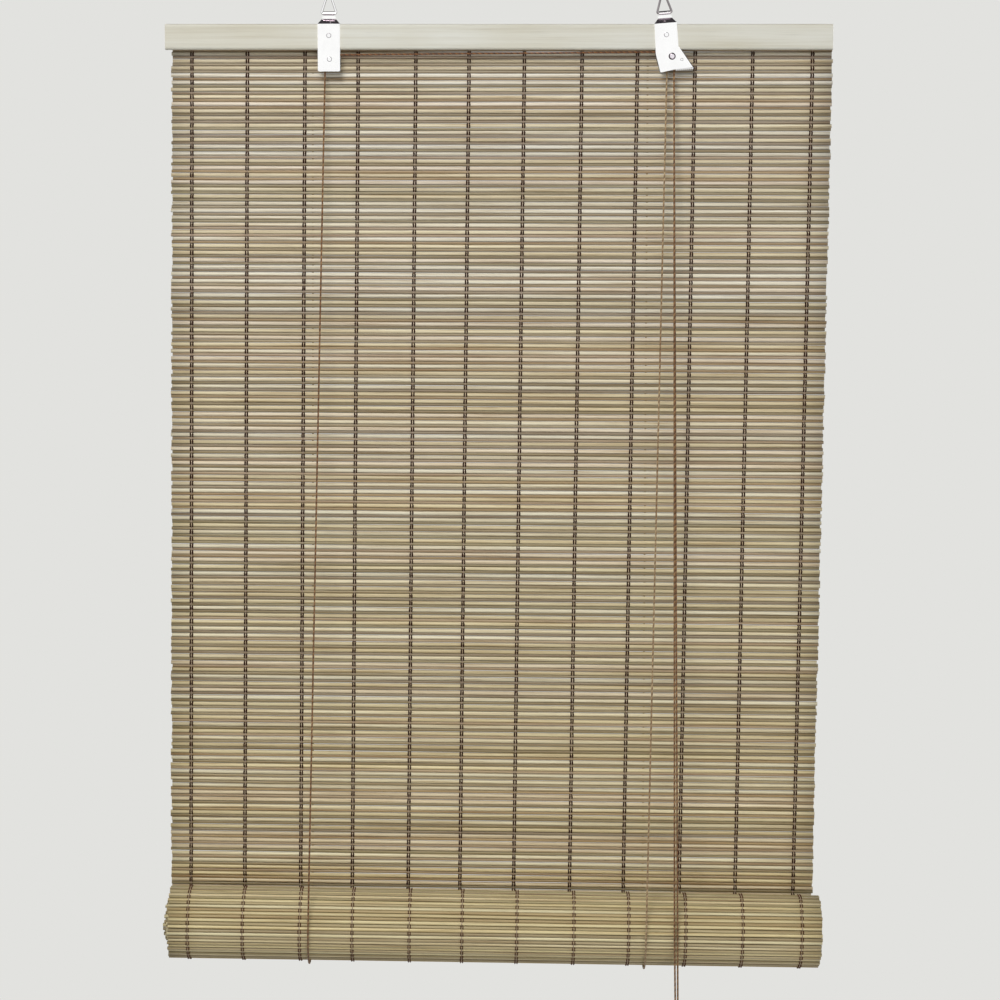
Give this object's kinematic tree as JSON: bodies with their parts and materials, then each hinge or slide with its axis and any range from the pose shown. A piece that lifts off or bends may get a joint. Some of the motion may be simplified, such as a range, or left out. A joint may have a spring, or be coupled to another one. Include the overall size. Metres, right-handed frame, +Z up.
{
  "type": "bamboo roll up blind",
  "caption": "Roll up blind of wooden sticks woven on dark threads, half rolled up below a flat headrail hung by wire rings, with pulleys, a cord lock and pull cords.",
  "frame": {"origin": "over the middle of the headrail, at the height where hooks bear in the two hanging rings", "axes": "+X along the headrail to the right as seen from the room, +Y towards the wall, +Z up"},
  "size_m": [0.6071, 0.0834, 0.9626],
  "materials": {
    "pale_wood": "satin",
    "stick_wood": "satin",
    "dark_thread": "matte",
    "rod_wood": "matte",
    "tassel_wood": "satin",
    "bright_steel": "polished",
    "rivet_steel": "satin",
    "white_nylon": "matte",
    "staple_steel": "satin",
    "brown_cord": "matte"
  },
  "bodies": {
    "headrail": {"headrail": "pale_wood", "left_bracket": "bright_steel", "lock_bracket": "bright_steel", "bracket_rivets": "bright_steel", "left_pulley_axle": "bright_steel", "lock_pulley_rivet": "rivet_steel", "jaw_pin": "bright_steel", "mat_panel": "stick_wood", "panel_warp_01": "dark_thread", "panel_warp_02": "dark_thread", "panel_warp_03": "dark_thread", "panel_warp_04": "dark_thread", "panel_warp_05": "dark_thread", "panel_warp_06": "dark_thread", "panel_warp_07": "dark_thread", "panel_warp_08": "dark_thread", "panel_warp_09": "dark_thread", "panel_warp_10": "dark_thread", "panel_warp_11": "dark_thread", "panel_warp_12": "dark_thread", "mat_staples": "staple_steel", "cord_staples": "staple_steel", "left_front_run": "brown_cord", "left_back_run": "brown_cord", "right_front_run": "brown_cord", "right_back_run": "brown_cord", "cross_cord": "brown_cord", "lock_cord": "brown_cord", "left_cord_pull_strand": "brown_cord", "right_cord_pull_strand": "brown_cord"},
    "left_ring": {"left_hanging_ring": "bright_steel"},
    "right_ring": {"right_hanging_ring": "bright_steel"},
    "left_pulley": {"left_pulley": "white_nylon"},
    "lock_pulley": {"lock_pulley": "white_nylon"},
    "lock_jaw": {"lock_jaw": "rivet_steel"},
    "slings": {"left_sling": "brown_cord", "right_sling": "brown_cord"},
    "roll": {"mat_roll": "stick_wood", "roll_warp_01": "dark_thread", "roll_warp_02": "dark_thread", "roll_warp_03": "dark_thread", "roll_warp_04": "dark_thread", "roll_warp_05": "dark_thread", "roll_warp_06": "dark_thread", "roll_warp_07": "dark_thread", "roll_warp_08": "dark_thread", "roll_warp_09": "dark_thread", "roll_warp_10": "dark_thread", "roll_warp_11": "dark_thread", "roll_warp_12": "dark_thread", "bottom_rod": "rod_wood", "rod_tacks": "staple_steel"},
    "tassel": {"tassel": "tassel_wood", "end_knot": "brown_cord", "left_cord_tassel_strand": "brown_cord", "right_cord_tassel_strand": "brown_cord"}
  },
  "joints": [
    {"name": "roll_lift", "type": "slide", "parent": "headrail", "child": "slings", "axis": [0, 0, 1], "range_m": [0, 0.7], "deforming": ["mat_panel", "panel_warp_01", "panel_warp_02", "panel_warp_03", "panel_warp_04", "panel_warp_05", "panel_warp_06", "panel_warp_07", "panel_warp_08", "panel_warp_09", "panel_warp_10", "panel_warp_11", "panel_warp_12", "left_front_run", "right_front_run", "left_back_run", "right_back_run", "left_cord_pull_strand", "right_cord_pull_strand"]},
    {"name": "roll_turn", "type": "hinge", "parent": "slings", "child": "roll", "pos_m": [-0.004, -0.0254, -0.846], "axis": [0.9999, 0, -0.0161], "range_deg": [-1080, 0]},
    {"name": "tassel_drop", "type": "slide", "parent": "slings", "child": "tassel", "axis": [0, 0, -1], "range_m": [0, 2.1], "deforming": ["left_cord_tassel_strand", "right_cord_tassel_strand"]},
    {"name": "left_pulley_turn", "type": "hinge", "parent": "headrail", "child": "left_pulley", "pos_m": [-0.1523, 0, -0.0555], "axis": [0, 1, 0], "continuous": true},
    {"name": "lock_pulley_turn", "type": "hinge", "parent": "headrail", "child": "lock_pulley", "pos_m": [0.15554, 0, -0.05282], "axis": [0, 1, 0], "continuous": true},
    {"name": "jaw_swing", "type": "hinge", "parent": "headrail", "child": "lock_jaw", "pos_m": [0.16429, 0, -0.05574], "axis": [0, -1, 0], "range_deg": [0, 20]},
    {"name": "left_ring_swing", "type": "hinge", "parent": "headrail", "child": "left_ring", "pos_m": [-0.1528, 0, -0.0147], "axis": [1, 0, 0], "range_deg": [-110, 110]},
    {"name": "right_ring_swing", "type": "hinge", "parent": "headrail", "child": "right_ring", "pos_m": [0.14877, 0, -0.01403], "axis": [0.9969, 0, 0.0785], "range_deg": [-110, 110]}
  ],
  "couplings": [
    {"joint": "roll_turn", "follows": "roll_lift", "rad_per_m": -26.92},
    {"joint": "tassel_drop", "follows": "roll_lift", "ratio": 3},
    {"joint": "left_pulley_turn", "follows": "roll_lift", "rad_per_m": 500},
    {"joint": "lock_pulley_turn", "follows": "roll_lift", "rad_per_m": 500}
  ]
}
